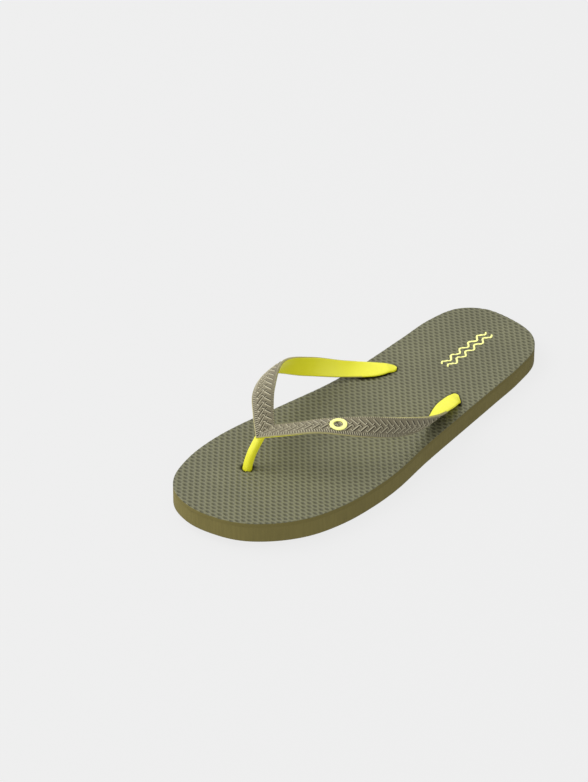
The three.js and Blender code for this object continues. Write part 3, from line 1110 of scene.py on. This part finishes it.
def olive_look():
    """Olive with painted shade in the braid's grooves, painted highlights on its strands, and yellowish along
    the rim.
    """
    look = Look("olive_pvc")
    relief = look.value_of("relief")
    groove = rgb(46, 42, 28)
    plain = rgb(121, 114, 91)
    painted_strand_highlight = rgb(187, 181, 153)
    rim = rgb(206, 198, 128)
    # Painted shade darkens the grooves and a painted highlight lightens the strands and beads, both following
    # the relief.
    color = look.mix(look.between(relief, 0, 1, 0.1, 0.55), groove, plain)
    color = look.mix(look.between(relief, 0, 1, 0.62, 0.95), color, painted_strand_highlight)
    color = look.mix(look.between(look.value_of("rim"), 0, 0.6, EDGE_START, 1.0), color, rim)
    cloudy = look.uneven(90, 2, 0.95, 1.05)
    look.set("Base Color", look.shade(color, cloudy))
    look.set("Roughness", look.between(look.noise(500, 3), 0.45, 0.6))
    look.set("Specular IOR Level", 0.4)
    look.set("Normal", look.bump(look.noise(2400, 2), 0.00003))
    return look.material


def pale_yellow_look():
    """Pale yellow of the heel print and the badge, with a faint painted glow as well."""
    look = Look("pale_yellow_print")
    specks = look.uneven(1500, 3, 0.94, 1.04)
    look.set("Base Color", look.shade(rgb(250, 250, 150), specks))
    # The emission is painted light, a faint glow of the print's own.
    look.set("Emission Color", rgb(255, 255, 175))
    look.set("Emission Strength", 0.12)
    look.set("Roughness", look.between(look.noise(600, 2), 0.38, 0.5))
    look.set("Normal", look.bump(look.noise(2200, 2), 0.00002))
    return look.material


# ---------- the flip flop ----------

sole_material = sole_look()
print_material = pale_yellow_look()
finish_piece(footbed_piece(), "footbed", footbed_look())
finish_piece(midsole_piece(), "midsole", sole_material)
finish_piece(outsole_piece(), "outsole", sole_material)
finish_piece(strap_base_piece(), "strap_base", yellow_look())
finish_piece(strap_cover_piece(), "strap_cover", olive_look())
finish_piece(badge_piece(), "strap_badge", print_material)
for side_name, side_sign in (("inner", -1), ("outer", 1)):
    wave = print_piece("heel_wave_" + side_name, side_sign * PRINT_SPACING / 2)
    finish_piece(wave, "heel_print_wave_" + side_name, print_material)

# ---------- floor, light and camera ----------

PALE = 0.855  # the photograph's background, as linear light
FLOOR_SEEN = 0.795  # the floor's own light where the camera sees it
FLOOR_LIGHTING = 0.6  # and where it lights the object
SKY_DARKEST, SKY_BRIGHTEST = 0.05, 1.5
BRIGHT_SIDE = (-0.65, -0.7, 0.3)  # where most of the soft light comes from


def seen_or_lighting(tree, seen, lighting):
    """A strength that has one value where the camera sees it, and another where it lights the object."""
    paths = tree.nodes.new("ShaderNodeLightPath")
    strength = tree.nodes.new("ShaderNodeMapRange")
    tree.links.new(paths.outputs["Is Camera Ray"], strength.inputs["Value"])
    for name, value in (("To Min", lighting), ("To Max", seen)):
        if isinstance(value, bpy.types.NodeSocket):
            tree.links.new(value, strength.inputs[name])
        else:
            strength.inputs[name].default_value = value
    return strength.outputs[0]


def floor_piece():
    """A wide pale floor just below the part."""
    size = 4.0
    corners = [(-size, -size, 0), (size, -size, 0), (size, size, 0), (-size, size, 0)]
    mesh = bpy.data.meshes.new("floor")
    mesh.from_pydata(corners, [], [(0, 1, 2, 3)])
    floor = object_of("floor", mesh)
    floor.location.z = -0.0003
    material = bpy.data.materials.new("floor_pale")
    material.use_nodes = True
    surface = material.node_tree.nodes["Principled BSDF"]
    surface.inputs["Base Color"].default_value = (0.05, 0.05, 0.05, 1)
    surface.inputs["Roughness"].default_value = 1.0
    surface.inputs["Specular IOR Level"].default_value = 0.0
    surface.inputs["Emission Color"].default_value = (1, 1, 1, 1)
    tree = material.node_tree
    tree.links.new(seen_or_lighting(tree, FLOOR_SEEN, FLOOR_LIGHTING), surface.inputs["Emission Strength"])
    mesh.materials.append(material)


def soft_light(name, place, aim, size, power):
    """A round area light of the given size in metres and power in watts."""
    data = bpy.data.lights.new(name, "AREA")
    data.shape = "DISK"
    data.size = size
    data.energy = power
    light = bpy.data.objects.new(name, data)
    bpy.context.scene.collection.objects.link(light)
    light.location = place
    light.rotation_euler = (Vector(aim) - Vector(place)).to_track_quat("-Z", "Y").to_euler()


def studio():
    """A pale world, brighter on one side, with two soft lights."""
    world = bpy.data.worlds.new("studio")
    bpy.context.scene.world = world
    world.use_nodes = True
    background = world.node_tree.nodes["Background"]
    background.inputs["Color"].default_value = (1, 1, 1, 1)
    tree = world.node_tree
    direction = tree.nodes.new("ShaderNodeTexCoord").outputs["Generated"]
    facing = tree.nodes.new("ShaderNodeVectorMath")
    facing.operation = "DOT_PRODUCT"
    facing.inputs[1].default_value = BRIGHT_SIDE
    tree.links.new(direction, facing.inputs[0])
    sky = tree.nodes.new("ShaderNodeMapRange")
    sky.inputs["From Min"].default_value = -1
    sky.inputs["To Min"].default_value = SKY_DARKEST
    sky.inputs["To Max"].default_value = SKY_BRIGHTEST
    tree.links.new(facing.outputs["Value"], sky.inputs["Value"])
    tree.links.new(seen_or_lighting(tree, PALE, sky.outputs[0]), background.inputs["Strength"])
    soft_light("key", (-1.0, -0.7, 1.5), (0, 0, 0), 1.4, 18.5)
    soft_light("fill", (1.3, 0.1, 0.6), (0, 0, 0.02), 1.2, 2.0)
    bpy.context.scene.view_settings.view_transform = "Standard"


def camera():
    """The photograph's viewpoint."""
    data = bpy.data.cameras.new("camera")
    data.lens = 113.12
    data.sensor_width = 36
    cam = bpy.data.objects.new("camera", data)
    bpy.context.scene.collection.objects.link(cam)
    cam.location = (0.8226, -0.8819, 0.9152)
    aim = Vector((-0.06428, -0.00162, 0))
    cam.rotation_euler = (aim - cam.location).to_track_quat("-Z", "Y").to_euler()
    bpy.context.scene.camera = cam


floor_piece()
studio()
camera()
